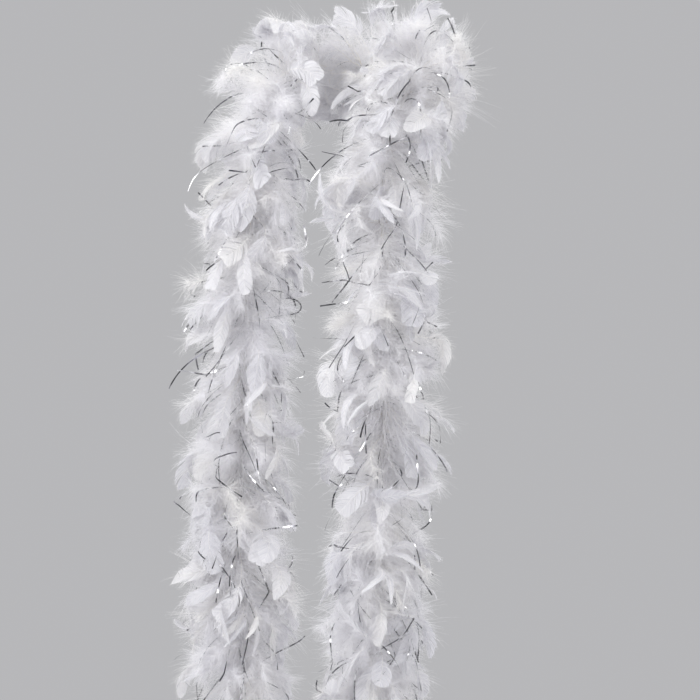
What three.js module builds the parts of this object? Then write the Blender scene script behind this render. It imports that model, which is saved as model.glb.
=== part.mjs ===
// Feather boa, as it hangs round a wearer's neck: a cotton core cord, tied feather bunches,
// tinsel sprays, and a thread whipping and a knot at each end.
// Millimetres, +Z up. The wearer faces -Y and their left is +X. The origin is on the nape.
import * as THREE from "three";

const CORD_DIAMETER = 4;
const CORD_SIDES = 8;
const CORD_STEPS = 79; // odd, so that both ends and the nape match
const CLEARANCE = 0.35; // between the cord and whatever is tied round it

const FEATHER_REACH = 70; // from the cord to the tip of a free feather
const FEATHER_HALF_WIDTH = 9.5;
const FEATHERS_PER_BUNCH = 8;
const FEATHER_THICKNESS = 2.4;
const TINSEL_REACH = 74;
const TINSEL_PER_SPRAY = 5;
const TINSEL_THICKNESS = 1;
const TINSEL_HALF_WIDTH = 0.8;
const STEPS_PER_SPRAY = 6;
const TIE_RADIUS = 6; // outside of the thread that ties a bunch's quills
const TINSEL_TIE_RADIUS = 4;
const SAG = 22; // how far gravity bends a full-length tip down
const GOLDEN_ANGLE = Math.PI * (3 - Math.sqrt(5));

const WHIPPING_LENGTH = 8;
const WHIPPING_RADIUS = 3.4;
const WHIPPING_FROM_END = 2;
const KNOT_RADIUS = 5.2;
const KNOT_LENGTH = 10;
const KNOT_TAIL = 6;
const KNOT_GAP = 0.3;

const NECK_RADIUS = 52;
const NECK_CENTRE_Y = -NECK_RADIUS;
const TORSO_CENTRE = new THREE.Vector3(0, -55, -350);
const TORSO_HALF_SIZE = new THREE.Vector3(185, 95, 330);
const BODY_GAP = 1.5; // between a feather and the wearer
const SHORTEST_FEATHER = 9;

// The core cord's centreline, from the wearer's right-hand end, round the nape, to the left.
const ROUTE = [
  [-102, -183, -850], [-105, -184, -775], [-107, -185, -690], [-107, -185, -600],
  [-105, -185, -510], [-101, -185, -425], [-97, -184, -340], [-94, -182, -260],
  [-92, -175, -190], [-91, -161, -130], [-93, -139, -80], [-96, -109, -38],
  [-94, -75, -14], [-84, -41, -3], [-62, -13, 1], [-32, 5, 2],
  [0, 10, 2], [34, 5, 2], [66, -13, 1], [90, -41, -2],
  [101, -75, -12], [101, -109, -35], [94, -139, -76], [88, -161, -126],
  [89, -175, -188], [92, -182, -260], [95, -184, -340], [96, -185, -425],
  [93, -185, -510], [88, -185, -600], [82, -185, -690], [78, -184, -775],
  [76, -183, -854],
];

const MATERIALS = {
  cord: { color: 0xe9e6df, roughness: 0.9, metalness: 0 },
  thread: { color: 0xf2f1ee, roughness: 0.7, metalness: 0 },
  feather: { color: 0xf1f1f5, roughness: 0.8, metalness: 0 },
  tinsel: { color: 0xc9ccd2, roughness: 0.2, metalness: 1 },
};

const boa = new THREE.Group();
const corePath = new THREE.CatmullRomCurve3(ROUTE.map((point) => new THREE.Vector3(...point)));
const stations = corePath.getSpacedPoints(CORD_STEPS);
const boreRadius = (CORD_DIAMETER / 2 + CLEARANCE) / Math.cos(Math.PI / CORD_SIDES);

function add(name, geometry, look) {
  const mesh = new THREE.Mesh(geometry, new THREE.MeshStandardMaterial(MATERIALS[look]));
  mesh.name = name;
  boa.add(mesh);
  return mesh;
}

function numbered(name, number) {
  return `${name}_${String(number).padStart(2, "0")}`;
}

// True inside the wearer's neck or trunk, where no feather can go.
function insideWearer(point) {
  const fromNeck = Math.hypot(point.x, point.y - NECK_CENTRE_Y);
  if (fromNeck < NECK_RADIUS && point.z > TORSO_CENTRE.z) {
    return true;
  }
  const across = Math.abs(point.x - TORSO_CENTRE.x) / TORSO_HALF_SIZE.x;
  const deep = Math.abs(point.y - TORSO_CENTRE.y) / TORSO_HALF_SIZE.y;
  const high = Math.max(0, point.z - TORSO_CENTRE.z) / TORSO_HALF_SIZE.z;
  return across ** 3 + deep ** 3 + high ** 3 < 1;
}

// The middle of one straight step of the cord, with the cord's direction there.
function stationFrame(step) {
  const start = stations[step];
  const end = stations[step + 1];
  const along = end.clone().sub(start).normalize();
  const reference = Math.abs(along.x) < 0.7 ? new THREE.Vector3(1, 0, 0) : new THREE.Vector3(0, 0, 1);
  const side = reference.sub(along.clone().multiplyScalar(reference.dot(along))).normalize();
  const other = along.clone().cross(side);
  return { centre: start.clone().lerp(end, 0.5), along, side, other };
}

// How far down a point bends that leaves the cord in one direction by this distance.
function sagAt(outward, distance) {
  return SAG * (distance / FEATHER_REACH) ** 2 * (1 - outward.z * outward.z);
}

function freeReach(frame, outward, longest) {
  const step = 1.5;
  let reach = TIE_RADIUS;
  while (reach < longest) {
    const point = frame.centre.clone().addScaledVector(outward, reach + step + BODY_GAP);
    point.z -= sagAt(outward, reach + step);
    if (insideWearer(point)) {
      break;
    }
    reach += step;
  }
  return Math.max(SHORTEST_FEATHER, Math.min(reach, longest));
}

// One blade's outline from its left root to its right root, as [distance, offset] pairs.
function featherOutline(reach) {
  const belly = 0.55 * reach;
  const half = Math.min(FEATHER_HALF_WIDTH, 0.3 * belly);
  return [[TIE_RADIUS, -1.7], [belly, -half], [reach, 0], [belly, half], [TIE_RADIUS, 1.7]];
}

function tinselOutline(reach) {
  const half = TINSEL_HALF_WIDTH;
  return [[TINSEL_TIE_RADIUS, -half], [reach, -half], [reach, half], [TINSEL_TIE_RADIUS, half]];
}

// A flat star of blades round the cord, bent down by gravity, as one closed body.
function starGeometry(frame, count, turn, longest, outlineOf, thickness) {
  const outline = [];
  for (let blade = 0; blade < count; blade += 1) {
    const angle = turn + (blade * 2 * Math.PI) / count;
    const outward = frame.side.clone().multiplyScalar(Math.cos(angle));
    outward.addScaledVector(frame.other, Math.sin(angle));
    for (const [distance, offset] of outlineOf(freeReach(frame, outward, longest))) {
      outline.push(new THREE.Vector2(distance, offset).rotateAround(new THREE.Vector2(), angle));
    }
  }
  const star = new THREE.Shape(outline);
  star.holes.push(new THREE.Path(circlePoints(boreRadius)));
  const geometry = new THREE.ExtrudeGeometry(star, { depth: thickness, bevelEnabled: false });
  geometry.translate(0, 0, -thickness / 2);
  bendDown(geometry, frame);
  return geometry;
}

function circlePoints(radius) {
  const points = [];
  for (let corner = 0; corner < CORD_SIDES; corner += 1) {
    const angle = (corner * 2 * Math.PI) / CORD_SIDES;
    points.push(new THREE.Vector2(radius * Math.cos(angle), radius * Math.sin(angle)));
  }
  return points;
}

// Moves each vertex of a star from the cord's own axes to the boa's, and lets it sag.
function bendDown(geometry, frame) {
  const place = new THREE.Matrix4().makeBasis(frame.side, frame.other, frame.along);
  place.setPosition(frame.centre);
  const positions = geometry.getAttribute("position");
  const vertex = new THREE.Vector3();
  for (let index = 0; index < positions.count; index += 1) {
    vertex.fromBufferAttribute(positions, index);
    const distance = Math.hypot(vertex.x, vertex.y);
    const outward = frame.side.clone().multiplyScalar(vertex.x / distance);
    outward.addScaledVector(frame.other, vertex.y / distance);
    vertex.applyMatrix4(place);
    vertex.z -= sagAt(outward, Math.max(0, distance - TIE_RADIUS));
    positions.setXYZ(index, vertex.x, vertex.y, vertex.z);
  }
  geometry.computeVertexNormals();
}

function addCoreCord() {
  const section = new THREE.Shape(circlePoints(CORD_DIAMETER / 2));
  const options = { steps: CORD_STEPS, extrudePath: corePath };
  add("core_cord", new THREE.ExtrudeGeometry(section, options), "cord");
}

function addFeatherBunches() {
  for (let step = 0; step < CORD_STEPS; step += 2) {
    const frame = stationFrame(step);
    const turn = step * GOLDEN_ANGLE;
    const geometry = starGeometry(
      frame, FEATHERS_PER_BUNCH, turn, FEATHER_REACH, featherOutline, FEATHER_THICKNESS,
    );
    add(numbered("feather_bunch", step / 2 + 1), geometry, "feather");
  }
}

function addTinselSprays() {
  let number = 1;
  for (let step = STEPS_PER_SPRAY / 2; step < CORD_STEPS; step += STEPS_PER_SPRAY) {
    const frame = stationFrame(step);
    const turn = step * GOLDEN_ANGLE;
    const geometry = starGeometry(
      frame, TINSEL_PER_SPRAY, turn, TINSEL_REACH, tinselOutline, TINSEL_THICKNESS,
    );
    add(numbered("tinsel_spray", number), geometry, "tinsel");
    number += 1;
  }
}

// Turns a lathed piece's axis from +Y to the way the cord runs out of its end.
function placeAtEnd(mesh, end, outward, distance) {
  mesh.quaternion.setFromUnitVectors(new THREE.Vector3(0, 1, 0), outward);
  mesh.position.copy(end).addScaledVector(outward, distance);
}

function addEnd(letter, end, next) {
  const outward = end.clone().sub(next).normalize();
  const whippingProfile = [
    [boreRadius, 0], [WHIPPING_RADIUS, 0], [WHIPPING_RADIUS, WHIPPING_LENGTH],
    [boreRadius, WHIPPING_LENGTH], [boreRadius, 0],
  ];
  const whipping = new THREE.LatheGeometry(toPoints(whippingProfile), CORD_SIDES + 4);
  placeAtEnd(add(`end_whipping_${letter}`, whipping, "thread"), end, outward,
    -WHIPPING_FROM_END - WHIPPING_LENGTH);
  const cordRadius = CORD_DIAMETER / 2;
  const knotProfile = [
    [0, 0], [0.65 * KNOT_RADIUS, 0], [KNOT_RADIUS, 0.3 * KNOT_LENGTH],
    [KNOT_RADIUS, 0.7 * KNOT_LENGTH], [0.65 * KNOT_RADIUS, KNOT_LENGTH],
    [cordRadius, KNOT_LENGTH], [1.2 * cordRadius, KNOT_LENGTH + KNOT_TAIL],
    [0, KNOT_LENGTH + KNOT_TAIL],
  ];
  const knot = new THREE.LatheGeometry(toPoints(knotProfile), CORD_SIDES + 4);
  placeAtEnd(add(`end_knot_${letter}`, knot, "cord"), end, outward, KNOT_GAP);
}

function toPoints(profile) {
  return profile.map(([radius, height]) => new THREE.Vector2(radius, height));
}

addCoreCord();
addFeatherBunches();
addTinselSprays();
addEnd("a", stations[0], stations[1]);
addEnd("b", stations[CORD_STEPS], stations[CORD_STEPS - 1]);

export default boa;
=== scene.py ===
"""The looks of the feather boa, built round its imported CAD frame.

Metres, +Z up. The wearer faces -Y and their left is +X. The origin is on the nape.
"""
import math

import bpy
import numpy as np
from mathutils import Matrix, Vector


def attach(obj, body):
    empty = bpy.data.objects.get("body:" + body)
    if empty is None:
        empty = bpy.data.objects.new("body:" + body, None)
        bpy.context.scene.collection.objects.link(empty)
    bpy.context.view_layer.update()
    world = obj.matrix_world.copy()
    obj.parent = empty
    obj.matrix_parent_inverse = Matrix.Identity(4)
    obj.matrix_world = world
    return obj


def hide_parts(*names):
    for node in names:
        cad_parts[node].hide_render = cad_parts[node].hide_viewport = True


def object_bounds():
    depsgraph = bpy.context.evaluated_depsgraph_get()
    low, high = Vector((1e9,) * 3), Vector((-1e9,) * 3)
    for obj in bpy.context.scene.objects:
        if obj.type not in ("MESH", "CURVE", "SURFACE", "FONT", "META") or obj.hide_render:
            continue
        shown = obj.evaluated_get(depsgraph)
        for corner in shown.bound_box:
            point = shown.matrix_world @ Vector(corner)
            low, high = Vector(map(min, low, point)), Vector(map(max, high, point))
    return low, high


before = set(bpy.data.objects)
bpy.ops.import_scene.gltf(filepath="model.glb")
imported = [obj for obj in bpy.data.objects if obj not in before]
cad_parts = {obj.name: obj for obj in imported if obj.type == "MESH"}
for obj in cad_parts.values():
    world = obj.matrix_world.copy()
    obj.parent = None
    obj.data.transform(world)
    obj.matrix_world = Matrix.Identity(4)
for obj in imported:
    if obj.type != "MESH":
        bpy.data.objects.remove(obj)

CAD_LOW, CAD_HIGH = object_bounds()
MM = 0.001

# ---------------------------------------------------------------- driving dimensions
VIEW_AZIMUTH = math.radians(22)
VIEW_ELEVATION = math.radians(2)
VIEW_DISTANCE = 3.2
VIEW_TARGET = Vector((0.0195, -0.112, -0.3726))
VIEW_LENS = 126.7

CORD_STEPS = 79
BUNCHES = 40
SPRAYS = 13
STEPS_PER_SPRAY = 6

# The wearer isn't modelled. Feathers and tinsel are kept off a round neck and a rounded trunk.
NECK_RADIUS = 52 * MM
NECK_CENTRE = np.array([0.0, -0.052])
TORSO_CENTRE = np.array([0.0, -0.055, -0.350])
TORSO_HALF_SIZE = np.array([0.185, 0.095, 0.330])
PUSHES = 2
FURTHEST_PUSH = 0.05
DOWN = np.array([0.0, 0.0, -1.0])

# How far the looks may reach past the CAD box: a share of each side, and a margin.
ROOM_SHARE = 0.03
ROOM_MARGIN = 8 * MM
SOFT_EDGE = 14 * MM

# The core cord's centreline, from the wearer's right-hand end, round the nape, to the left.
ROUTE = np.array([
    (-.102, -.183, -.850), (-.105, -.184, -.775), (-.107, -.185, -.690), (-.107, -.185, -.600),
    (-.105, -.185, -.510), (-.101, -.185, -.425), (-.097, -.184, -.340), (-.094, -.182, -.260),
    (-.092, -.175, -.190), (-.091, -.161, -.130), (-.093, -.139, -.080), (-.096, -.109, -.038),
    (-.094, -.075, -.014), (-.084, -.041, -.003), (-.062, -.013, .001), (-.032, .005, .002),
    (0, .010, .002), (.034, .005, .002), (.066, -.013, .001), (.090, -.041, -.002),
    (.101, -.075, -.012), (.101, -.109, -.035), (.094, -.139, -.076), (.088, -.161, -.126),
    (.089, -.175, -.188), (.092, -.182, -.260), (.095, -.184, -.340), (.096, -.185, -.425),
    (.093, -.185, -.510), (.088, -.185, -.600), (.082, -.185, -.690), (.078, -.184, -.775),
    (.076, -.183, -.854),
])


# ---------------------------------------------------------------- camera
def add_camera():
    data = bpy.data.cameras.new("camera")
    data.lens = VIEW_LENS
    data.sensor_width = 36
    data.clip_start, data.clip_end = 0.05, 100
    camera = bpy.data.objects.new("camera", data)
    back = Vector((
        math.sin(VIEW_AZIMUTH) * math.cos(VIEW_ELEVATION),
        -math.cos(VIEW_AZIMUTH) * math.cos(VIEW_ELEVATION),
        math.sin(VIEW_ELEVATION),
    ))
    camera.location = VIEW_TARGET + back * VIEW_DISTANCE
    camera.rotation_mode = "QUATERNION"
    camera.rotation_quaternion = (-back).to_track_quat("-Z", "Y")
    bpy.context.scene.collection.objects.link(camera)
    bpy.context.scene.camera = camera


add_camera()


# ---------------------------------------------------------------- vectors and curves
def unit(vectors):
    length = np.linalg.norm(vectors, axis=-1, keepdims=True)
    return vectors / np.maximum(length, 1e-12)


def smooth_line(points, per_span):
    """A centripetal Catmull-Rom line through the points."""
    first = 2 * points[0] - points[1]
    last = 2 * points[-1] - points[-2]
    held = np.vstack([first, points, last])
    line = []
    for i in range(1, len(held) - 2):
        p0, p1, p2, p3 = held[i - 1:i + 3]
        k0 = 0.0
        k1 = k0 + np.linalg.norm(p1 - p0) ** 0.5
        k2 = k1 + np.linalg.norm(p2 - p1) ** 0.5
        k3 = k2 + np.linalg.norm(p3 - p2) ** 0.5
        k = np.linspace(k1, k2, per_span, endpoint=False)[:, None]
        a1 = (k1 - k) / (k1 - k0) * p0 + (k - k0) / (k1 - k0) * p1
        a2 = (k2 - k) / (k2 - k1) * p1 + (k - k1) / (k2 - k1) * p2
        a3 = (k3 - k) / (k3 - k2) * p2 + (k - k2) / (k3 - k2) * p3
        b1 = (k2 - k) / (k2 - k0) * a1 + (k - k0) / (k2 - k0) * a2
        b2 = (k3 - k) / (k3 - k1) * a2 + (k - k1) / (k3 - k1) * a3
        line.append((k2 - k) / (k2 - k1) * b1 + (k - k1) / (k2 - k1) * b2)
    return np.vstack(line + [points[-1:]])


def carried_sides(tangents, first_side):
    """Side vectors carried along a line without twisting. tangents: (..., n, 3)."""
    sides = np.empty_like(tangents)
    side = first_side
    for i in range(tangents.shape[-2]):
        along = tangents[..., i, :]
        side = unit(side - (side * along).sum(-1, keepdims=True) * along)
        sides[..., i, :] = side
    return sides


POINTS_PER_SPAN = 30
LINE = smooth_line(ROUTE, POINTS_PER_SPAN)
LINE_S = np.concatenate([[0], np.cumsum(np.linalg.norm(np.diff(LINE, axis=0), axis=1))])
LINE_ALONG = unit(np.gradient(LINE, LINE_S, axis=0))
LINE_SIDE = carried_sides(LINE_ALONG, np.array([1.0, 0.0, 0.0]))
LINE_OTHER = np.cross(LINE_ALONG, LINE_SIDE)
CORD_LENGTH = float(LINE_S[-1])
STEP = CORD_LENGTH / CORD_STEPS


def on_cord(distance, values):
    """The line's values (LINE, LINE_ALONG, LINE_SIDE or LINE_OTHER) at distances along the cord."""
    return np.stack([np.interp(distance, LINE_S, values[:, i]) for i in range(3)], -1)


def kept_off_wearer(points, margin):
    """Moves points inside the wearer, or nearer than the margin, out to the margin.

    The trunk is where |x|^3 + |y|^3 + |z|^3 < 1 in shares of its half size. It has no lower end.
    """
    points = points.copy()
    for _ in range(PUSHES):
        rel = (points - TORSO_CENTRE) / TORSO_HALF_SIZE
        rel[..., 2] = np.maximum(rel[..., 2], 0)
        level = (np.abs(rel) ** 3).sum(-1)
        slope = 3 * rel * np.abs(rel) / TORSO_HALF_SIZE
        steep = np.linalg.norm(slope, axis=-1)
        depth = np.clip((1 - level) / np.maximum(steep, 1e-6) + margin, 0, FURTHEST_PUSH)
        depth = np.where(steep > 1e-3, depth, 0)
        points += unit(slope) * depth[..., None]
    flat = points[..., :2] - NECK_CENTRE
    away = np.linalg.norm(flat, axis=-1)
    wanted = NECK_RADIUS + margin
    inside = (away < wanted) & (points[..., 2] > TORSO_CENTRE[2])
    grow_by = np.where(inside, wanted / np.maximum(away, 1e-4), 1.0)
    points[..., :2] = NECK_CENTRE + flat * grow_by[..., None]
    return points


def kept_in_room(points):
    """Presses the last few tips that stand out furthest back inside the room the boa takes."""
    size = np.array(CAD_HIGH) - np.array(CAD_LOW)
    spare = ROOM_SHARE * size + ROOM_MARGIN
    high = np.array(CAD_HIGH) + spare - SOFT_EDGE
    low = np.array(CAD_LOW) - spare + SOFT_EDGE
    over = high + SOFT_EDGE * np.tanh((points - high) / SOFT_EDGE)
    points = np.where(points > high, over, points)
    under = low - SOFT_EDGE * np.tanh((low - points) / SOFT_EDGE)
    return np.where(points < low, under, points)


# ---------------------------------------------------------------- meshes
class Soup:
    """Collects grids of points into one mesh, with a material number and a place for each."""

    def __init__(self):
        self.points, self.places, self.quads, self.looks = [], [], [], []
        self.count = 0

    def add(self, grids, places, look, closed=False):
        """grids: (patches, rows, columns, 3). closed joins the last column to the first."""
        patches, rows, columns = grids.shape[:3]
        index = np.arange(patches * rows * columns).reshape(patches, rows, columns) + self.count
        if closed:
            index = np.concatenate([index, index[:, :, :1]], 2)
        quads = np.stack(
            [index[:, :-1, :-1], index[:, :-1, 1:], index[:, 1:, 1:], index[:, 1:, :-1]], -1
        ).reshape(-1, 4)
        self.points.append(grids.reshape(-1, 3))
        self.places.append(np.broadcast_to(places, grids.shape).reshape(-1, 3))
        self.quads.append(quads)
        self.looks.append(np.full(len(quads), look, np.int32))
        self.count += patches * rows * columns

    def build(self, name, materials):
        points = kept_in_room(np.concatenate(self.points)).astype(np.float32)
        quads = np.concatenate(self.quads).astype(np.int32)
        mesh = bpy.data.meshes.new(name)
        mesh.vertices.add(len(points))
        mesh.vertices.foreach_set("co", points.ravel())
        mesh.loops.add(quads.size)
        mesh.loops.foreach_set("vertex_index", quads.ravel())
        mesh.polygons.add(len(quads))
        mesh.polygons.foreach_set("loop_start", np.arange(0, quads.size, 4, dtype=np.int32))
        mesh.polygons.foreach_set("material_index", np.concatenate(self.looks))
        mesh.polygons.foreach_set("use_smooth", np.ones(len(quads), bool))
        place = mesh.attributes.new("place", "FLOAT_VECTOR", "POINT")
        place.data.foreach_set("vector", np.concatenate(self.places).astype(np.float32).ravel())
        mesh.update(calc_edges=True)
        for material in materials:
            mesh.materials.append(material)
        piece = bpy.data.objects.new(name, mesh)
        bpy.context.scene.collection.objects.link(piece)
        return piece


def tube_grid(line, sides_a, sides_b, radius, corners):
    """Rings of points round lines. line: (n, rows, 3), radius: (n, rows) or (rows,)."""
    turn = np.arange(corners) * 2 * math.pi / corners
    ring = (
        np.cos(turn)[:, None] * sides_a[..., None, :]
        + np.sin(turn)[:, None] * sides_b[..., None, :]
    )
    return line[..., None, :] + ring * np.asarray(radius)[..., None, None]


def sampled(lines, which, at):
    """Points at share `at` (0 to 1) along lines[which]. lines: (n, rows, 3)."""
    place = np.clip(at, 0, 1) * (lines.shape[1] - 1)
    low = np.minimum(place.astype(int), lines.shape[1] - 2)
    part = (place - low)[..., None]
    return lines[which, low] * (1 - part) + lines[which, low + 1] * part


# ---------------------------------------------------------------- materials
# Colour stops. Tints run over a feather's own number, shades over a barb's own number.
DOWN_TINTS = [
    (0.0, (0.92, 0.916, 0.938)), (0.35, (0.95, 0.946, 0.960)),
    (0.7, (0.962, 0.957, 0.964)), (1.0, (0.962, 0.954, 0.938)),
]
DOWN_SHADES = [(0.0, (0.87, 0.87, 0.88)), (0.4, (0.99, 0.99, 0.99)), (1.0, (1, 1, 1))]
VANE_TINTS = [
    (0.0, (0.79, 0.787, 0.812)), (0.4, (0.83, 0.826, 0.843)),
    (0.8, (0.87, 0.866, 0.876)), (1.0, (0.87, 0.862, 0.847)),
]
VANE_STREAKS = [(0.32, (0.80, 0.80, 0.83)), (0.60, (1, 1, 1))]
QUILL_ROOT_TO_TIP = [
    (0.0, (0.80, 0.76, 0.68)), (0.3, (0.90, 0.88, 0.84)), (1.0, (0.94, 0.93, 0.92)),
]
# Tinsel base colour along a strip: the near-black stretches are painted dark reflections and the
# white peaks are painted glints.
TINSEL_PAINTED_REFLECTIONS = [
    (0.42, (0.07, 0.07, 0.08)), (0.54, (0.26, 0.26, 0.275)),
    (0.60, (0.95, 0.95, 0.96)), (0.72, (0.60, 0.60, 0.61)),
]


def new_material(name):
    material = bpy.data.materials.new(name)
    material.use_nodes = True
    tree = material.node_tree
    return material, tree, tree.nodes["Principled BSDF"]


def node(tree, kind, **settings):
    made = tree.nodes.new(kind)
    for key, value in settings.items():
        setattr(made, key, value)
    return made


def set_inputs(shader, values):
    for name, value in values.items():
        shader.inputs[name].default_value = value


def place_parts(tree):
    """The vector that Soup.add gave each point, and its x, y and z.

    x runs along a barb, quill, thread or strip, and out across a vane. y runs along a vane,
    round a thread and across a strip, and is a barb's own shade. z is the own number of the
    feather, strip or thread.
    """
    attribute = node(tree, "ShaderNodeAttribute", attribute_name="place")
    split = node(tree, "ShaderNodeSeparateXYZ")
    tree.links.new(attribute.outputs["Vector"], split.inputs[0])
    return attribute.outputs["Vector"], split.outputs


def scaled_place(tree, parts, scales):
    """A vector of the place's parts, each multiplied by its scale in scales."""
    combined = node(tree, "ShaderNodeCombineXYZ")
    for part, scale in scales.items():
        times = node(tree, "ShaderNodeMath", operation="MULTIPLY")
        tree.links.new(parts[part], times.inputs[0])
        times.inputs[1].default_value = scale
        tree.links.new(times.outputs[0], combined.inputs[part])
    return combined.outputs[0]


def noise_over(tree, vector, scale, detail):
    noise = node(tree, "ShaderNodeTexNoise")
    tree.links.new(vector, noise.inputs["Vector"])
    set_inputs(noise, {"Scale": scale, "Detail": detail})
    return noise.outputs["Fac"]


def add_bump(tree, principled, height, strength, distance):
    bump = node(tree, "ShaderNodeBump")
    set_inputs(bump, {"Strength": strength, "Distance": distance})
    tree.links.new(height, bump.inputs["Height"])
    tree.links.new(bump.outputs[0], principled.inputs["Normal"])


def ramp(tree, source, stops):
    made = node(tree, "ShaderNodeValToRGB")
    while len(made.color_ramp.elements) < len(stops):
        made.color_ramp.elements.new(0.5)
    for element, (position, colour) in zip(made.color_ramp.elements, stops):
        element.position = position
        element.color = (*colour, 1)
    tree.links.new(source, made.inputs[0])
    return made.outputs["Color"]


def multiplied(tree, colour, shade):
    mix = node(tree, "ShaderNodeMix", data_type="RGBA", blend_type="MULTIPLY")
    mix.inputs[0].default_value = 1
    tree.links.new(colour, mix.inputs[6])
    tree.links.new(shade, mix.inputs[7])
    return mix.outputs[2]


def see_through_a_little(tree, principled, colour, share):
    """Mixes in light that passes through the thin surface."""
    translucent = node(tree, "ShaderNodeBsdfTranslucent")
    tree.links.new(colour, translucent.inputs["Color"])
    mix = node(tree, "ShaderNodeMixShader")
    mix.inputs[0].default_value = share
    tree.links.new(principled.outputs[0], mix.inputs[1])
    tree.links.new(translucent.outputs[0], mix.inputs[2])
    tree.links.new(mix.outputs[0], tree.nodes["Material Output"].inputs["Surface"])


def down_material():
    material, tree, principled = new_material("feather_down")
    _, parts = place_parts(tree)
    colour = ramp(tree, parts[2], DOWN_TINTS)
    colour = multiplied(tree, colour, ramp(tree, parts[1], DOWN_SHADES))
    tree.links.new(colour, principled.inputs["Base Color"])
    set_inputs(principled, {
        "Roughness": 0.8, "Specular IOR Level": 0.2, "Sheen Weight": 0.2, "Sheen Roughness": 0.5,
    })
    see_through_a_little(tree, principled, colour, 0.5)
    return material


def vane_material():
    """Soft dark streaks and fine ridges that run along the zipped barbs."""
    material, tree, principled = new_material("feather_vane")
    vector, parts = place_parts(tree)
    colour = ramp(tree, parts[2], VANE_TINTS)
    along_barbs = scaled_place(tree, parts, {0: 0.06, 1: 0.9, 2: 40.0})
    streaks = ramp(tree, noise_over(tree, along_barbs, 1.0, 3), VANE_STREAKS)
    colour = multiplied(tree, colour, streaks)
    tree.links.new(colour, principled.inputs["Base Color"])
    set_inputs(principled, {"Roughness": 0.5, "Specular IOR Level": 0.3, "Sheen Weight": 0.1})
    ridges = node(tree, "ShaderNodeTexWave", wave_type="BANDS", bands_direction="Y")
    tree.links.new(vector, ridges.inputs["Vector"])
    set_inputs(ridges, {"Scale": 0.7, "Distortion": 0.6, "Detail": 2})
    add_bump(tree, principled, ridges.outputs["Fac"], 0.35, 0.00012)
    see_through_a_little(tree, principled, colour, 0.4)
    return material


def quill_material():
    material, tree, principled = new_material("feather_quill")
    _, parts = place_parts(tree)
    colour = ramp(tree, parts[0], QUILL_ROOT_TO_TIP)
    tree.links.new(colour, principled.inputs["Base Color"])
    set_inputs(principled, {"Roughness": 0.35})
    return material


def tinsel_material():
    """Bare metal whose base colour is painted dark over stretches of a strip, as painted dark
    reflections, and white between them, as painted glints.
    """
    material, tree, principled = new_material("silver_tinsel")
    vector, parts = place_parts(tree)
    along_strip = scaled_place(tree, parts, {0: 0.05, 2: 60.0})
    # Painted reflections: dark stretches and white glints put into the base colour by noise along
    # each strip.
    colour = ramp(tree, noise_over(tree, along_strip, 1.0, 1), TINSEL_PAINTED_REFLECTIONS)
    tree.links.new(colour, principled.inputs["Base Color"])
    set_inputs(principled, {"Metallic": 1, "Roughness": 0.13})
    add_bump(tree, principled, noise_over(tree, vector, 0.25, 3), 0.5, 0.0003)
    return material


def cotton_material(name, light, shade, scale):
    material, tree, principled = new_material(name)
    vector, _ = place_parts(tree)
    fibres = noise_over(tree, vector, scale, 4)
    colour = ramp(tree, fibres, [(0.3, shade), (0.7, light)])
    tree.links.new(colour, principled.inputs["Base Color"])
    set_inputs(principled, {"Roughness": 0.85, "Sheen Weight": 0.3})
    add_bump(tree, principled, fibres, 0.5, 0.0002)
    return material


DOWN_LOOK, VANE_LOOK, QUILL_LOOK = 0, 1, 2
FEATHER_MATERIALS = [down_material(), vane_material(), quill_material()]
TINSEL_MATERIAL = tinsel_material()
CORD_MATERIAL = cotton_material("cotton_cord", (0.84, 0.82, 0.77), (0.66, 0.64, 0.59), 2.5)
THREAD_MATERIAL = cotton_material("binding_thread", (0.90, 0.90, 0.88), (0.76, 0.76, 0.74), 4.0)


# ---------------------------------------------------------------- core cord, knots and threads
PLIES = 3
PLY_PITCH = 14 * MM
PLY_RADIUS = 0.95 * MM
PLY_WINDING_RADIUS = 1.05 * MM  # from the cord's middle to the ply's
PLY_ROWS_PER_TURN = 10

SKEW = (0.3, 0.5, 0.8)  # a way that no tube starts along
END_PINCH = 0.05  # the share of a tube's radius that its closed ends are drawn in to

KNOT_SIZE = 2.3 * MM
KNOT_TIGHTNESS = 0.62
KNOT_DEPTH = 1.6
KNOT_FROM_END = 5.4  # millimetres, from the cord's end to the knot's middle
KNOT_CORD_RADIUS = 1.7 * MM
TAIL_RADIUS = 1.6 * MM
TAIL_LENGTH = 11  # millimetres
TAIL_SWAY = 0.8
KNOT_CORNERS = 10
KNOT_ROWS = 60
LOBE = 1.1  # how far the trefoil's lobes reach past its middle ring
FRAYED_STRANDS = 26
FRAY_RADIUS = 0.16 * MM
FRAY_LEAN = 0.35
FRAY_LENGTHS = (3, 5)  # millimetres
FRAY_SEED = 77

WHIPPING_START, WHIPPING_END = 2 * MM, 10 * MM  # from the cord's end
WHIPPING_PITCH = 0.62 * MM
WHIPPING_ROWS_PER_TURN = 16
WHIPPING_RADIUS = 2.55 * MM
WHIPPING_THREAD_RADIUS = 0.33 * MM

BINDING_FROM_END = 12 * MM
BINDING_PITCH = 7 * MM
BINDING_ROWS_PER_TURN = 9
# Each winding's radius, pitch (less than 0 for the other hand), first turn and own number.
WINDINGS = [(3.1 * MM, BINDING_PITCH, 0.0, 0.2), (3.2 * MM, -9 * MM, 1.0, 0.8)]
BINDING_THREAD_RADIUS = 0.22 * MM


def helix(distance, radius, pitch, phase, turn_from=0.0):
    """Points that wind round the cord's line at this radius."""
    turn = phase + 2 * math.pi * (distance - turn_from) / pitch
    out = (
        np.cos(turn)[:, None] * on_cord(distance, LINE_SIDE)
        + np.sin(turn)[:, None] * on_cord(distance, LINE_OTHER)
    )
    return on_cord(distance, LINE) + out * radius


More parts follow.
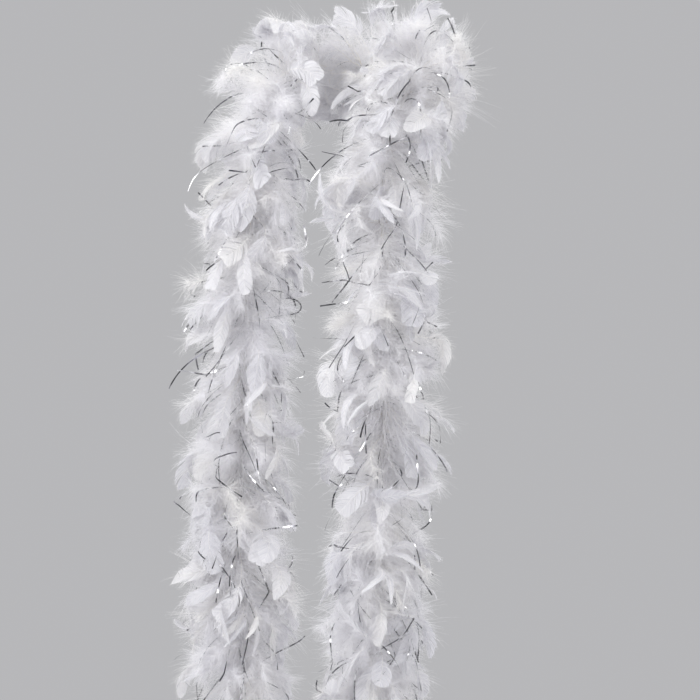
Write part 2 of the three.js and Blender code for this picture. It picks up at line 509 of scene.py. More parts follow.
def add_tube(soup, line, radius, corners, number=0.5):
    """A round tube with closed ends along one line."""
    along = unit(np.gradient(line, axis=0))
    sides = carried_sides(along, unit(np.cross(along[0], SKEW)))
    radii = np.full(len(line), radius)
    line = np.vstack([line[:1], line, line[-1:]])
    along = np.vstack([along[:1], along, along[-1:]])
    sides = np.vstack([sides[:1], sides, sides[-1:]])
    radii = np.concatenate([[radius * END_PINCH], radii, [radius * END_PINCH]])
    grid = tube_grid(line[None], sides[None], np.cross(along, sides)[None], radii[None], corners)
    run = np.concatenate([[0], np.cumsum(np.linalg.norm(np.diff(line, axis=0), axis=1))]) / MM
    places = np.zeros(grid.shape)
    places[..., 0] = run[None, :, None]
    places[..., 1] = np.arange(corners)
    places[..., 2] = number
    soup.add(grid, places, 0, closed=True)


def add_core_cord():
    """Three twisted plies."""
    rows = int(CORD_LENGTH / PLY_PITCH * PLY_ROWS_PER_TURN)
    distance = np.linspace(0, CORD_LENGTH, rows)
    soup = Soup()
    for ply in range(PLIES):
        line = helix(distance, PLY_WINDING_RADIUS, PLY_PITCH, ply * 2 * math.pi / PLIES)
        add_tube(soup, line, PLY_RADIUS, 6, ply / PLIES)
    return soup.build("core_cord_plied", [CORD_MATERIAL])


def add_end_knot(name, end, inward):
    """An overhand knot, laid as a trefoil, with a short tail that frays at its end."""
    outward = -inward
    side = unit(np.cross(outward, (0.0, 1.0, 0.2)))
    other = np.cross(outward, side)
    soup = Soup()
    turn = np.linspace(0, 2 * math.pi, KNOT_ROWS)
    trefoil = np.stack([
        np.sin(turn) + LOBE * np.sin(2 * turn),
        np.cos(turn) - LOBE * np.cos(2 * turn),
        -LOBE * np.sin(3 * turn),
    ], -1) * KNOT_SIZE * KNOT_TIGHTNESS
    across = trefoil[:, :1] * side
    up = trefoil[:, 1:2] * other
    deep = trefoil[:, 2:] * outward * KNOT_DEPTH
    line = end + outward * KNOT_FROM_END * MM + across + up + deep
    add_tube(soup, line, KNOT_CORD_RADIUS, KNOT_CORNERS)
    tail = np.linspace(0, 1, 10)[:, None]
    sway = side * np.sin(tail * 3) * TAIL_SWAY * MM
    stub = end + outward * (MM + tail * TAIL_LENGTH * MM) + sway
    add_tube(soup, stub, TAIL_RADIUS, KNOT_CORNERS)
    rng = np.random.default_rng(FRAY_SEED)
    for _ in range(FRAYED_STRANDS):
        lean = rng.normal(0, FRAY_LEAN, 2)
        way = unit(outward + side * lean[0] + other * lean[1])
        root = stub[-1] + (side * lean[0] + other * lean[1]) * 1.8 * MM - outward * MM
        bend = DOWN * rng.uniform(0, 2) * MM
        line = root + tail * way * rng.uniform(*FRAY_LENGTHS) * MM + tail ** 2 * bend
        add_tube(soup, line, FRAY_RADIUS, 4)
    return soup.build(name, [CORD_MATERIAL])


def add_whipping(name, start, end):
    """Thread wound tightly round the cord, turn against turn."""
    rows = int((end - start) / WHIPPING_PITCH * WHIPPING_ROWS_PER_TURN)
    line = helix(np.linspace(start, end, rows), WHIPPING_RADIUS, WHIPPING_PITCH, 0.0, start)
    soup = Soup()
    add_tube(soup, line, WHIPPING_THREAD_RADIUS, 6)
    return soup.build(name, [THREAD_MATERIAL])


def add_binding_thread():
    """The thread that lashes every quill to the cord: two crossing windings."""
    soup = Soup()
    rows = int(CORD_LENGTH / BINDING_PITCH * BINDING_ROWS_PER_TURN)
    distance = np.linspace(BINDING_FROM_END, CORD_LENGTH - BINDING_FROM_END, rows)
    for radius, pitch, phase, number in WINDINGS:
        add_tube(soup, helix(distance, radius, pitch, phase), BINDING_THREAD_RADIUS, 4, number)
    return soup.build("binding_thread", [THREAD_MATERIAL])


def add_cord_pieces():
    cord = add_core_cord()
    knot_a = add_end_knot("knot_a", LINE[0], LINE_ALONG[0])
    knot_b = add_end_knot("knot_b", LINE[-1], -LINE_ALONG[-1])
    whipping_a = add_whipping("whipping_a", WHIPPING_START, WHIPPING_END)
    whipping_b = add_whipping(
        "whipping_b", CORD_LENGTH - WHIPPING_END, CORD_LENGTH - WHIPPING_START,
    )
    thread = add_binding_thread()
    stands_for = {
        cord: "core_cord", knot_a: "end_knot_a", knot_b: "end_knot_b",
        whipping_a: "end_whipping_a", whipping_b: "end_whipping_b",
    }
    for piece, cad_node in stands_for.items():
        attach(piece, "root")
        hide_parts(cad_node)
    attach(thread, "root")


add_cord_pieces()


# ---------------------------------------------------------------- feathers
SHAFT_ROWS = 16
LOWEST_TIP = -0.887  # shafts and strips that would hang below this height are made shorter
LEAST_KEPT = 0.2  # the least share of its length that one keeps
WAY_FADE = 0.3  # how much of its first direction a line has lost by its tip
SURFACE_ZONE = 0.4  # the share of the girth in which lines turn to run along the surface
TURN_BACK = -0.6  # how hard a line that is past the surface turns back
STIFFNESS = 0.45
ROOT_FROM_END = 5 * MM
SHAFT_MARGIN = 2.5 * MM

DOWN_BARB_WIDTH = 0.36 * MM
DOWN_START = 0.06  # share of the shaft
OPEN_ANGLE, OPEN_ANGLE_SPREAD = 76, 12  # degrees between a shaft and its first barbs
ROUND_SHAFT_SPREAD = 0.95  # radians that barbs stand out of the feather's flat
CLUMPS = 12
WISP_LEAN = 0.32
BARB_LEAN = 0.13
BARB_DROOP = 0.10
CLING = (0.1, 0.6)  # the share of the way that a wisp's barbs are drawn to its tip
SHADE_SPREAD = 0.2
BARB_MARGINS = (0.3, 5)  # millimetres from the wearer
MOST_STRETCH = 1.7  # of a barb that is moved off the wearer
BARB_TAPER = 0.75  # the share of a barb's width that is gone at its tip

CORE_BARBS = 1100
CORE_BARB_LENGTHS = (30, 60)  # millimetres
CORE_BARB_WIDTH = 0.5 * MM

VANE_STRIPS = 20
STRIPS_TOGETHER = 5
VANE_ROWS = 5
VANE_BASE = 0.35  # the share of a vane that widens from its base
CAMBERS = (-0.25, 0.5)
WIDEST_PLACES = (0.4, 0.55)  # share of the vane
GROUP_LIFT = 0.05
GROUP_LENGTHS = (0.86, 1.04)
STRIP_LIFT = 0.008
STRIP_LENGTH_SPREAD = 0.035
LEAST_GAP, GAP_AT_BASE, SPLIT_GAP = 0.01, 0.35, 0.4  # share of a strip's width
VANE_MARGINS = (0.5, 5)
FUZZ_PER_STRIP = 3
SHORTEST_FUZZ, FUZZ_AT_BASE = 3.0, 11  # millimetres
FUZZ_MARGIN = 0.3 * MM
FUZZ_WIDTH = 0.24 * MM


def nearest_on_cord(points):
    """The nearest point of the cord's line to each point."""
    coarse = LINE[::4]
    apart = ((points.reshape(-1, 1, 3) - coarse) ** 2).sum(-1)
    return coarse[apart.argmin(1)].reshape(points.shape)


def grow(roots, ways, lengths, pulls, girth, rows, margin, stiffness=STIFFNESS):
    """Lines that leave roots along ways and bend as pulled, but stay about girth from the cord.

    pulls is a list of (vectors, power): each adds its vectors times the share along to that power.
    A line that would hang past LOWEST_TIP is made shorter.
    """
    points = [roots]
    way = ways
    step = (lengths / (rows - 1))[:, None]
    for row in range(1, rows):
        share = row / (rows - 1)
        wanted = ways * (1 - WAY_FADE * share)
        for vectors, power in pulls:
            wanted = wanted + vectors * share ** power
        wanted = unit(wanted)
        away = points[-1] - nearest_on_cord(points[-1])
        out = unit(away)
        room = (girth - np.linalg.norm(away, axis=1)) / (SURFACE_ZONE * girth)
        outward = (wanted * out).sum(1)
        allowed = np.minimum(outward, np.clip(room, TURN_BACK, 1))
        wanted = wanted + out * (allowed - outward)[:, None]
        way = unit(way * stiffness + unit(wanted) * (1 - stiffness))
        ahead = kept_off_wearer(points[-1] + way * step, margin)
        way = unit(ahead - points[-1])
        points.append(points[-1] + way * step)
    lines = np.stack(points, 1)
    lowest = lines[:, :, 2].min(1)
    too_low = lowest < LOWEST_TIP
    fits = (roots[:, 2] - LOWEST_TIP) / np.maximum(roots[:, 2] - lowest, 1e-6)
    keep = np.clip(np.where(too_low, fits, 1), LEAST_KEPT, 1)[:, None, None]
    return lines[:, :1] + (lines - lines[:, :1]) * keep


def ribbons(roots, ways, lengths, bends, width, rows, rng, wave):
    """Thin tapering strips. roots, ways, bends: (n, 3); lengths: (n,). Returns (n, rows, 2, 3)."""
    share = np.linspace(0, 1, rows)[None, :, None]
    across = unit(np.cross(ways, unit(rng.normal(size=ways.shape))))
    third = np.cross(ways, across)
    run = lengths[:, None, None]
    line = roots[:, None] + run * (share * ways[:, None] + share ** 2 * bends[:, None])
    phase = rng.uniform(0, 2 * math.pi, (len(roots), 1, 1))
    turns = rng.uniform(0.5, 1.1, (len(roots), 1, 1))
    swing = np.sin(phase + 2 * math.pi * turns * share) - np.sin(phase)
    line = line + third[:, None] * swing * wave * run * share
    taper = (1 - BARB_TAPER * share ** 1.5) * width / 2
    edge = across[:, None] * taper
    return np.stack([line - edge, line + edge], 2)


def barb_places(grid, numbers, run=1.0, shades=0.8):
    """Places for grids of barbs: x to run along each, y its shade, z its feather's number."""
    places = np.zeros(grid.shape)
    places[..., 0] = np.linspace(0, 1, grid.shape[1])[None, :, None] * run
    places[..., 1] = np.reshape(shades, (-1, 1, 1))
    places[..., 2] = numbers[:, None, None]
    return places


def add_barbs(soup, grid, numbers, margin, shades):
    """Adds barbs clear of the wearer, without those that this stretches, as across the neck."""
    before = np.linalg.norm(np.diff(grid[:, :, 0], axis=1), axis=2).max(1)
    grid = kept_off_wearer(grid, margin)
    after = np.linalg.norm(np.diff(grid[:, :, 0], axis=1), axis=2).max(1)
    good = after < MOST_STRETCH * before + MM
    places = barb_places(grid[good], numbers[good], shades=shades[good])
    soup.add(grid[good], places, DOWN_LOOK)


def feather_frames(shafts, side):
    """The ways along, across and out of the flat of each shaft, at each of its points."""
    along = unit(np.gradient(shafts, axis=1))
    sides = carried_sides(along, side)
    return along, sides, np.cross(along, sides)


def drawn_together(root, reach, length, wisp, rng):
    """Bends that draw the barbs of one wisp towards a shared tip."""
    tips = root + reach * length[:, None]
    total = wisp.max() + 1
    members = np.maximum(np.bincount(wisp, minlength=total), 1)
    middle = np.stack([np.bincount(wisp, tips[:, axis], total) / members for axis in range(3)], -1)
    cling = rng.uniform(*CLING, total)[wisp]
    return (middle[wisp] - tips) / length[:, None] * cling[:, None]


def add_down(soup, shafts, frames, numbers, counts, low, high, longest, closing, rng):
    """Soft barbs that spread round each shaft, in wisps, between its low and high share.

    closing is how many degrees nearer the shaft its last barbs lie than its first.
    """
    along, sides, normals = frames
    which = np.repeat(np.arange(len(shafts)), counts)
    done = rng.uniform(0, 1, len(which)) ** 0.85
    at = low[which] + (high - low)[which] * done
    root = sampled(shafts, which, at)
    t = unit(sampled(along, which, at))
    hand = rng.choice([-1.0, 1.0], len(which))
    s = unit(sampled(sides, which, at)) * hand[:, None]
    n = unit(sampled(normals, which, at))
    angle = OPEN_ANGLE - closing[which] * done
    open_angle = np.radians(angle + rng.normal(0, OPEN_ANGLE_SPREAD, len(which)))
    spread = rng.normal(0, ROUND_SHAFT_SPREAD, len(which))
    out = s * np.cos(spread)[:, None] + n * np.sin(spread)[:, None]
    way = unit(t * np.cos(open_angle)[:, None] + out * np.sin(open_angle)[:, None])
    length = longest[which] * (0.6 + 0.4 * np.sin(math.pi * np.clip(done * 0.8 + 0.2, 0, 1)))
    length = length * rng.uniform(0.5, 1.1, len(which))
    clump = (done * CLUMPS).astype(int)
    lean_together = rng.normal(0, WISP_LEAN, (len(shafts), CLUMPS + 1, 2, 3))
    bend = t * 0.2 + DOWN * BARB_DROOP + rng.normal(0, BARB_LEAN, way.shape)
    wisp = (which * (CLUMPS + 1) + clump) * 2 + (hand > 0)
    bend = bend + lean_together.reshape(-1, 3)[wisp]
    bend = bend + drawn_together(root, way + bend, length, wisp, rng)
    grid = ribbons(root, way, length, bend, DOWN_BARB_WIDTH, 4, rng, 0.06)
    margin = rng.uniform(*BARB_MARGINS, len(which))[:, None, None] * MM
    shades = rng.uniform(0, 1, len(shafts) * (CLUMPS + 1) * 2)[wisp]
    shades = np.clip(shades + rng.normal(0, SHADE_SPREAD, len(which)), 0, 1)
    add_barbs(soup, grid, numbers[which], margin, shades)


def vane_edge(q, roundness, widest):
    """A vane's outline from its base (q = 0) to its tip (q = 1): shares along and across it."""
    turn = np.clip((q - VANE_BASE) / (1 - VANE_BASE), 0, 1) * math.pi / 2
    base = np.clip(q / VANE_BASE, 0, 1)
    power = 2 / roundness
    x_base = widest * (0.1 + 0.9 * base)
    x_tip = widest + (1 - widest) * np.sin(turn) ** power
    w_base = 0.3 + 0.7 * np.sin(base * math.pi / 2) ** 0.8
    w_tip = np.maximum(np.cos(turn), 0) ** power
    in_base = q < VANE_BASE
    return np.where(in_base, x_base, x_tip), np.where(in_base, w_base, w_tip)


def add_vanes(soup, shafts, frames, numbers, low, half_width, roundness, rng):
    """Flat vanes of zipped barbs, in strips from the shaft to the edge, some of them split."""
    _, sides, normals = frames
    count = len(shafts)
    shaft_length = np.linalg.norm(np.diff(shafts, axis=1), axis=2).sum(1)
    vane_length = shaft_length * (1 - low)
    which = np.repeat(np.arange(count), VANE_STRIPS)
    strip = np.tile(np.arange(VANE_STRIPS), count)
    camber = rng.uniform(*CAMBERS, count)
    widest = rng.uniform(*WIDEST_PLACES, count)
    share = np.linspace(0, 1, VANE_ROWS)[None, :, None]
    for hand in (-1.0, 1.0):
        shift = rng.uniform(0, STRIPS_TOGETHER, count)
        group = ((strip + shift[which]) // STRIPS_TOGETHER).astype(int)
        groups = group.max() + 1
        group_lift = rng.normal(0, GROUP_LIFT, (count, groups))[which, group]
        reach = rng.uniform(*GROUP_LENGTHS, (count, groups))[which, group]
        lift = rng.normal(0, STRIP_LIFT, len(which)) + group_lift
        base_gap = GAP_AT_BASE * (1 - strip / VANE_STRIPS) ** 3
        gap = LEAST_GAP + base_gap + SPLIT_GAP * rng.uniform(0, 1, len(which)) ** 8
        gap = gap[:, None, None]
        column = np.array([-0.5, 0.5])[None, None, :]
        q = (strip[:, None, None] + 0.5 + column * (1 - gap * share ** 2)) / VANE_STRIPS
        x, w = vane_edge(q, roundness[which][:, None, None], widest[which][:, None, None])
        reach = reach * (1 + rng.normal(0, STRIP_LENGTH_SPREAD, len(which)))
        w = w * reach[:, None, None]
        half = half_width[which][:, None, None]
        run_on = 0.85 * w * half / vane_length[which][:, None, None] + 0.05
        root = np.clip(x - run_on, 0, 0.95)
        here = root + (x - root) * share ** 1.15
        across = w * half * share * (1.22 - 0.22 * share)
        at = low[which][:, None, None] + (1 - low[which])[:, None, None] * here
        line = sampled(shafts, which[:, None, None], at)
        s = unit(sampled(sides, which[:, None, None], at))
        n = unit(sampled(normals, which[:, None, None], at))
        out = np.minimum(across / half, 1.2)
        fall = lift[:, None, None] * out ** 2 - camber[which][:, None, None] * out ** 2 * 0.5
        grid = line + (s * hand * across[..., None]) + n * (fall * half)[..., None]
        margin = rng.uniform(*VANE_MARGINS, len(which))[:, None, None] * MM
        grid = kept_off_wearer(grid, margin)
        places = np.zeros(grid.shape)
        places[..., 0] = across / MM
        places[..., 1] = root * vane_length[which][:, None, None] / MM
        places[..., 2] = numbers[which][:, None, None]
        soup.add(grid, places, VANE_LOOK)
        add_edge_fuzz(soup, grid, 1 - strip / VANE_STRIPS, numbers[which], rng)


def add_edge_fuzz(soup, grid, looseness, numbers, rng):
    """Loose barb ends that stand out past a vane's edge, longer near its base."""
    patch = np.repeat(np.arange(len(grid)), FUZZ_PER_STRIP)
    part = rng.uniform(0, 1, len(patch))[:, None]
    edge = grid[patch, -1, 0] * (1 - part) + grid[patch, -1, 1] * part
    before = grid[patch, -2, 0] * (1 - part) + grid[patch, -2, 1] * part
    way = unit(unit(edge - before) + rng.normal(0, 0.25, edge.shape))
    longest = SHORTEST_FUZZ + FUZZ_AT_BASE * looseness[patch] ** 1.5
    length = longest * rng.uniform(0.35, 1, len(patch)) * MM
    bend = rng.normal(0, 0.18, edge.shape) + DOWN * 0.1
    root = edge - way * MM
    fuzz = ribbons(root, way, length, bend, FUZZ_WIDTH, 3, rng, 0.05)
    fuzz = kept_off_wearer(fuzz, FUZZ_MARGIN)
    soup.add(fuzz, barb_places(fuzz, numbers[patch]), DOWN_LOOK)


def add_core_down(soup, middle, rng):
    """Down round the cord that hides it and fills the gaps between tufts."""
    count = CORE_BARBS
    distance = np.clip(middle + rng.uniform(-1, 1, count) * STEP, 2 * MM, CORD_LENGTH - 2 * MM)
    roots, out, to_end, round_cord = cord_roots(distance, rng.uniform(0, 6.3, count), 2.5 * MM)
    lean = to_end * rng.normal(0.15, 0.5, (count, 1))
    way = unit(out + lean + round_cord * rng.normal(0, 0.5, (count, 1)))
    length = rng.uniform(*CORE_BARB_LENGTHS, count) * MM
    bend = rng.normal(0, 0.2, (count, 3)) + DOWN * 0.2
    grid = ribbons(roots, way, length, bend, CORE_BARB_WIDTH, 4, rng, 0.08)
    margin = rng.uniform(*BARB_MARGINS, count)[:, None, None] * MM
    add_barbs(soup, grid, rng.uniform(0, 1, count), margin, rng.uniform(0, 1, count))


def add_quills(soup, shafts, frames, numbers):
    """Shafts that taper from 1.4 mm across at the root to 0.2 mm at the tip."""
    _, sides, normals = frames
    share = np.linspace(0, 1, shafts.shape[1])
    radius = (0.7 - 0.6 * share ** 0.7) * MM * np.ones((len(shafts), 1))
    grid = tube_grid(shafts, sides, normals, radius, 4)
    soup.add(grid, barb_places(grid, numbers), QUILL_LOOK, closed=True)


def cord_roots(distance, turn, radius):
    """Where things leave the cord, and the ways out, towards the nearer end and round it."""
    side, other = on_cord(distance, LINE_SIDE), on_cord(distance, LINE_OTHER)
    out = unit(side * np.cos(turn)[:, None] + other * np.sin(turn)[:, None])
    along = unit(on_cord(distance, LINE_ALONG))
    to_end = np.where(distance > CORD_LENGTH / 2, 1.0, -1.0)[:, None]
    return on_cord(distance, LINE) + out * radius, out, along * to_end, np.cross(along, out)


def spread_along(middle, half_span, count, rng):
    """One random distance in each of count equal stretches of the cord round the middle."""
    low = max(middle - half_span, 6 * MM)
    high = min(middle + half_span, CORD_LENGTH - 6 * MM)
    return low + (high - low) * (np.arange(count) + rng.uniform(0, 1, count)) / count


def golden_turns(count):
    """Turns round the cord, each a golden angle on from the last, so that none lines up."""
    return np.arange(count) * math.pi * (3 - math.sqrt(5))


def column_of(values):
    return np.asarray(values, float)[:, None]


def by_kind(kind, ranges, rng):
    """A random value for each feather, from its own kind's range."""
    return np.choose(kind, [rng.uniform(low, high, len(kind)) for low, high in ranges])


FLAT, PLUME, SPIKY = 0, 1, 2
TUFT_KINDS = [FLAT, FLAT, FLAT, PLUME, PLUME, PLUME, PLUME, SPIKY]
TUFTS_PER_BUNCH = len(TUFT_KINDS)
FEATHERS_PER_TUFT, FEATHERS_PER_SPIKY_TUFT = 3, 5
STRAY_CHANCE = 0.15  # of a feather that is not of its tuft's kind
FEATHER_SEED = 1000

# For flat, plume and spiky feathers in turn. Lengths and girths are in millimetres.
FEATHER_LENGTHS = [(84, 120), (62, 90), (90, 118)]
GIRTH_CHANGES = [-4, -10, 4]
OUTLIER_CHANCES = [0.08, 0.2, 0.35]
BARB_COUNTS = [230, 400, 150]
DOWN_ENDS = [0.78, 0.99, 0.58]  # share of the shaft
DOWN_LENGTHS = [(26, 38), (24, 36), (18, 28)]
DOWN_CLOSING = [34, 22, 40]  # degrees

TUFT_LEANS = (-30, 58)  # degrees from straight out of the cord, towards its nearer end
TUFT_GIRTHS = (52, 80)
TURN_SPREAD_IN_TUFT = 0.33  # radians round the cord
LEAN_SPREAD_IN_TUFT = 12  # degrees
LEAST_GIRTH, MOST_GIRTH = 42, 82
OUTLIER_GIRTH = 86
GRAVITIES = (-0.25, 1.2)  # less than 0 for a feather that lifts

VANE_STARTS = (0.42, 0.56)  # share of the shaft
FLAT_HALF_WIDTHS = (9, 16)
SPIKY_HALF_WIDTHS = (3.5, 6.5)
SPIKY_ROUNDNESS = (1.2, 1.8)
FLAT_ROUNDNESS = [2.0, 2.8, 6.0, 1.4]  # 2 is an oval tip, more is squarer, less is pointed
FLAT_ROUNDNESS_CHANCES = [0.2, 0.25, 0.35, 0.2]


def planned_tufts(middle, rng):
    """What the feathers of each tuft share: kind, turn, lean, curl, girth and place on the cord."""
    count = TUFTS_PER_BUNCH
    kind = rng.permutation(TUFT_KINDS)
    turn = golden_turns(count) + rng.normal(0, 0.3, count)
    turn = turn + rng.uniform(0, 2 * math.pi)
    lean = rng.uniform(*TUFT_LEANS, count)
    curl = rng.normal(0, 0.7, count)
    girth = rng.uniform(*TUFT_GIRTHS, count)
    place = rng.permutation(spread_along(middle, STEP, count, rng))
    return kind, turn, lean, curl, girth, place


def grown_feathers(middle, rng):
    """The kind, shaft and frame of each feather in a bunch."""
    tuft_kind, tuft_turn, tuft_lean, tuft_curl, tuft_girth, tuft_place = planned_tufts(middle, rng)
    per_tuft = np.where(tuft_kind == SPIKY, FEATHERS_PER_SPIKY_TUFT, FEATHERS_PER_TUFT)
    tuft = np.repeat(np.arange(TUFTS_PER_BUNCH), per_tuft)
    count = len(tuft)
    strays = rng.uniform(size=count) < STRAY_CHANCE
    kind = np.where(strays, rng.choice([FLAT, PLUME], count), tuft_kind[tuft])
    distance = tuft_place[tuft] + rng.normal(0, 3, count) * MM
    distance = np.clip(distance, ROOT_FROM_END, CORD_LENGTH - ROOT_FROM_END)
    turn = tuft_turn[tuft] + rng.normal(0, TURN_SPREAD_IN_TUFT, count)
    roots, out, to_end, round_cord = cord_roots(distance, turn, 2.8 * MM)
    lean = np.radians(tuft_lean[tuft] + rng.normal(0, LEAN_SPREAD_IN_TUFT, count))
    lean = column_of(lean) * (0.4 + 0.6 * np.abs(to_end[:, 2:]))
    ways = out * np.cos(lean) + to_end * np.sin(lean) + round_cord * rng.normal(0, 0.22, (count, 1))
    ways = unit(ways)
    lengths = by_kind(kind, FEATHER_LENGTHS, rng) * MM
    outliers = rng.uniform(size=count) < np.choose(kind, OUTLIER_CHANCES)
    girth = tuft_girth[tuft] + np.choose(kind, GIRTH_CHANGES) + rng.normal(0, 4, count)
    girth = np.where(outliers, OUTLIER_GIRTH, np.clip(girth, LEAST_GIRTH, MOST_GIRTH)) * MM
    gravity = rng.uniform(*GRAVITIES, count) * (1 - 0.6 * np.clip(out[:, 2], 0, 1))
    gravity = np.where(outliers, 0.5 * gravity, gravity)
    curl = column_of(tuft_curl[tuft] + rng.normal(0, 0.5, count))
    pulls = [
        (DOWN * column_of(gravity), 1.2),
        (round_cord * curl, 1.4),
        (rng.normal(0, 0.3, (count, 3)), 2.0),
        (to_end * 0.25, 1.0),
    ]
    shafts = grow(roots, ways, lengths, pulls, girth, SHAFT_ROWS, SHAFT_MARGIN)
    roll = rng.normal(0, 0.5, (count, 1))
    side = round_cord * np.cos(roll) + np.cross(ways, round_cord) * np.sin(roll)
    return kind, shafts, feather_frames(shafts, side)


def add_feather_bunch(number):
    rng = np.random.default_rng(FEATHER_SEED + number)
    middle = (2 * number + 0.5) * STEP
    kind, shafts, frames = grown_feathers(middle, rng)
    count = len(kind)
    numbers = rng.uniform(0, 1, count)
    soup = Soup()
    add_quills(soup, shafts, frames, numbers)
    add_core_down(soup, middle, rng)
    barbs = np.choose(kind, BARB_COUNTS)
    low = np.full(count, DOWN_START)
    high = np.choose(kind, DOWN_ENDS)
    longest = by_kind(kind, DOWN_LENGTHS, rng) * MM
    closing = np.choose(kind, DOWN_CLOSING)
    add_down(soup, shafts, frames, numbers, barbs, low, high, longest, closing, rng)
    vaned = np.flatnonzero(kind != PLUME)
    vaned_frames = tuple(part[vaned] for part in frames)
    spiky = kind[vaned] == SPIKY
    total = len(vaned)
    narrow = rng.uniform(*SPIKY_HALF_WIDTHS, total)
    half_width = np.where(spiky, narrow, rng.uniform(*FLAT_HALF_WIDTHS, total)) * MM
    flat_tip = rng.choice(FLAT_ROUNDNESS, total, p=FLAT_ROUNDNESS_CHANCES)
    roundness = np.where(spiky, rng.uniform(*SPIKY_ROUNDNESS, total), flat_tip)
    start = rng.uniform(*VANE_STARTS, total)
    add_vanes(
        soup, shafts[vaned], vaned_frames, numbers[vaned], start, half_width, roundness, rng,
    )
    piece = soup.build(f"plumes_{number + 1:02d}", FEATHER_MATERIALS)
    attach(piece, "root")
    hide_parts(f"feather_bunch_{number + 1:02d}")


# ---------------------------------------------------------------- tinsel
TINSEL_SEED = 5000
STRIPS_PER_SPRAY = 40
STRIP_ROWS = 28
STRIP_MARGIN = 6 * MM  # from the wearer
STRIP_PLACE_RUN = 100.0  # what a place's x reaches at a strip's tip

# Straight strips stand out to the fluff's surface, and curved ones run along it.
STRAIGHT_CHANCE = 0.45
BACKWARD_CHANCE = 0.2  # of a strip that leans away from the cord's nearer end
STRAIGHT_LEANS, CURVED_LEANS = (20, 62), (0, 50)  # degrees
TO_SURFACE = (58, 77)  # millimetres, as the other lengths and girths
CURVED_LENGTHS = (80, 112)
STRAIGHT_GIRTH, CURVED_GIRTHS = 95, (58, 74)
STRIP_WIDTHS = (1.5, 2.1)
TWIST = 3.4  # how widely twists vary, in radians from root to tip
STRAIGHT_HANG, CURVED_HANGS = 0.2, (0.1, 1.9)
FOLD_CHANCE = 0.35
FOLDED, UNFOLDED = 0.9, 0.1  # how far the end past the fold turns
FOLD_STARTS = (0.6, 0.92)  # share of the strip


def add_tinsel_spray(number):
    rng = np.random.default_rng(TINSEL_SEED + number)
    middle = (STEPS_PER_SPRAY * (number + 0.5) + 0.5) * STEP
    count = STRIPS_PER_SPRAY
    distance = spread_along(middle, STEP * STEPS_PER_SPRAY / 2, count, rng)
    turn = golden_turns(count) + rng.normal(0, 0.25, count)
    roots, out, to_end, round_cord = cord_roots(distance, turn, 3 * MM)
    straight = rng.uniform(size=count) < STRAIGHT_CHANCE
    straight_lean = rng.uniform(*STRAIGHT_LEANS, count)
    lean = np.where(straight, straight_lean, rng.uniform(*CURVED_LEANS, count))
    lean = np.radians(np.where(rng.uniform(size=count) < BACKWARD_CHANCE, -1, 1) * lean)
    ways = out * column_of(np.cos(lean)) + to_end * column_of(np.sin(lean))
    ways = unit(ways + round_cord * rng.normal(0, 0.35, (count, 1)))
    to_surface = rng.uniform(*TO_SURFACE, count) / np.clip((ways * out).sum(1), 0.5, 1)
    lengths = np.where(straight, to_surface, rng.uniform(*CURVED_LENGTHS, count)) * MM
    girth = np.where(straight, STRAIGHT_GIRTH, rng.uniform(*CURVED_GIRTHS, count)) * MM
    hang = rng.uniform(*CURVED_HANGS, count) * (1 - 0.5 * np.clip(out[:, 2], 0, 1))
    hang = np.where(straight, STRAIGHT_HANG, hang)
    aside = rng.normal(0, 1, (count, 1)) * np.where(straight, 0.2, 1.0)[:, None]
    pulls = [(DOWN * column_of(hang) + round_cord * aside, 0.9)]
    lines = grow(roots, ways, lengths, pulls, girth, STRIP_ROWS, STRIP_MARGIN, 0.5)
    share = np.linspace(0, 1, STRIP_ROWS)[None, :, None]
    fold = np.where(rng.uniform(size=count) < FOLD_CHANCE, FOLDED, UNFOLDED) * lengths
    fold_way = unit(rng.normal(0, 1, (count, 3)) - 0.6 * out)
    folded_share = np.maximum(share - rng.uniform(*FOLD_STARTS, (count, 1, 1)), 0)
    lines = lines + folded_share * (fold[:, None] * fold_way)[:, None]
    lines = kept_off_wearer(lines, STRIP_MARGIN)
    frames = feather_frames(lines, round_cord)
    twist = rng.normal(0, 0.5, (count, 1, 1)) + share * rng.normal(0, TWIST, (count, 1, 1))
    across = frames[1] * np.cos(twist) + frames[2] * np.sin(twist)
    width = rng.uniform(*STRIP_WIDTHS, (count, 1, 1)) * MM
    grid = np.stack([lines - across * width / 2, lines + across * width / 2], 2)
    soup = Soup()
    places = barb_places(grid, rng.uniform(0, 1, count), STRIP_PLACE_RUN)
    places[..., 1] = np.array([0.0, 1.2])
    soup.add(grid, places, 0)
    piece = soup.build(f"tinsel_strips_{number + 1:02d}", [TINSEL_MATERIAL])
    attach(piece, "root")
    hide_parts(f"tinsel_spray_{number + 1:02d}")


for bunch in range(BUNCHES):
    add_feather_bunch(bunch)
for spray in range(SPRAYS):
    add_tinsel_spray(spray)


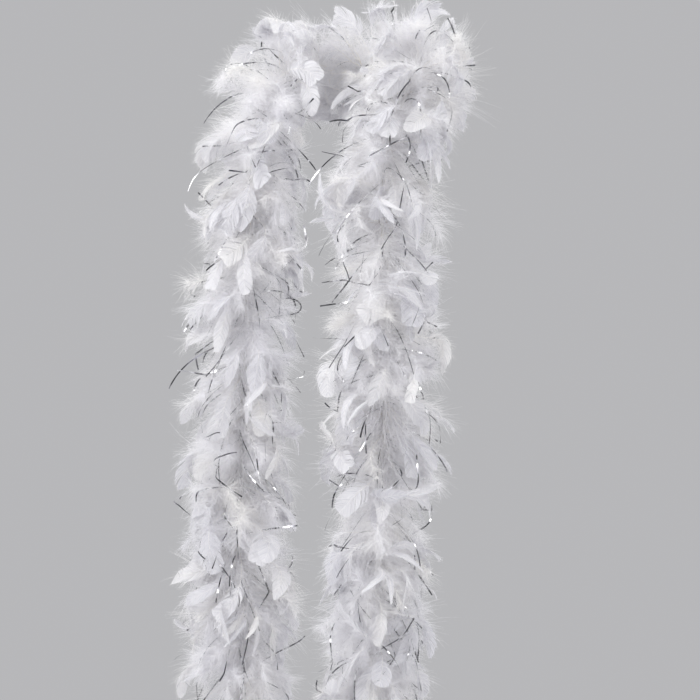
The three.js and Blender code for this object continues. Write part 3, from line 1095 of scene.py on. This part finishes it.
# ---------------------------------------------------------------- floor and light
FLOOR_RADIUS = 3.2
FLOOR_HEIGHT = -1.46
FLOOR_CORNERS = 96
FLOOR_COLOUR = (0.50, 0.50, 0.52, 1)
BACKDROP_COLOUR = (0.475, 0.475, 0.489, 1)
LIT_POINT = Vector((0, -0.12, -0.40))
# Each light's name, place, size in metres and power in watts.
LIGHTS = [
    ("key", (-1.7, -2.5, 1.2), 2.2, 72),
    ("fill", (2.2, -2.3, 0.4), 2.4, 40),
    ("top", (0, -0.3, 2.0), 1.8, 22),
    ("low", (0.2, -2.6, -1.1), 1.6, 12),
    ("rim_left", (-1.8, 1.7, 0.6), 1.2, 20),
    ("rim_right", (1.8, 1.8, 0.6), 1.2, 20),
]


def add_floor():
    material, _, principled = new_material("floor")
    set_inputs(principled, {"Base Color": FLOOR_COLOUR, "Roughness": 0.9})
    turn = np.linspace(0, 2 * math.pi, FLOOR_CORNERS, endpoint=False)
    rim = [(FLOOR_RADIUS * math.cos(a), FLOOR_RADIUS * math.sin(a), FLOOR_HEIGHT) for a in turn]
    mesh = bpy.data.meshes.new("floor")
    mesh.from_pydata(rim, [], [list(range(len(rim)))])
    mesh.materials.append(material)
    floor = bpy.data.objects.new("floor", mesh)
    bpy.context.scene.collection.objects.link(floor)


def add_area_light(name, place, size, power):
    data = bpy.data.lights.new(name, "AREA")
    data.shape = "DISK"
    data.size = size
    data.energy = power
    light = bpy.data.objects.new(name, data)
    light.location = place
    way = LIT_POINT - Vector(place)
    light.rotation_mode = "QUATERNION"
    light.rotation_quaternion = way.to_track_quat("-Z", "Y")
    bpy.context.scene.collection.objects.link(light)


def add_lights():
    world = bpy.data.worlds.new("studio")
    world.use_nodes = True
    set_inputs(world.node_tree.nodes["Background"], {"Color": BACKDROP_COLOUR, "Strength": 1})
    bpy.context.scene.world = world
    for light in LIGHTS:
        add_area_light(*light)


add_floor()
add_lights()
bpy.context.scene.view_settings.view_transform = "Standard"
bpy.context.scene.cycles.diffuse_bounces = 8
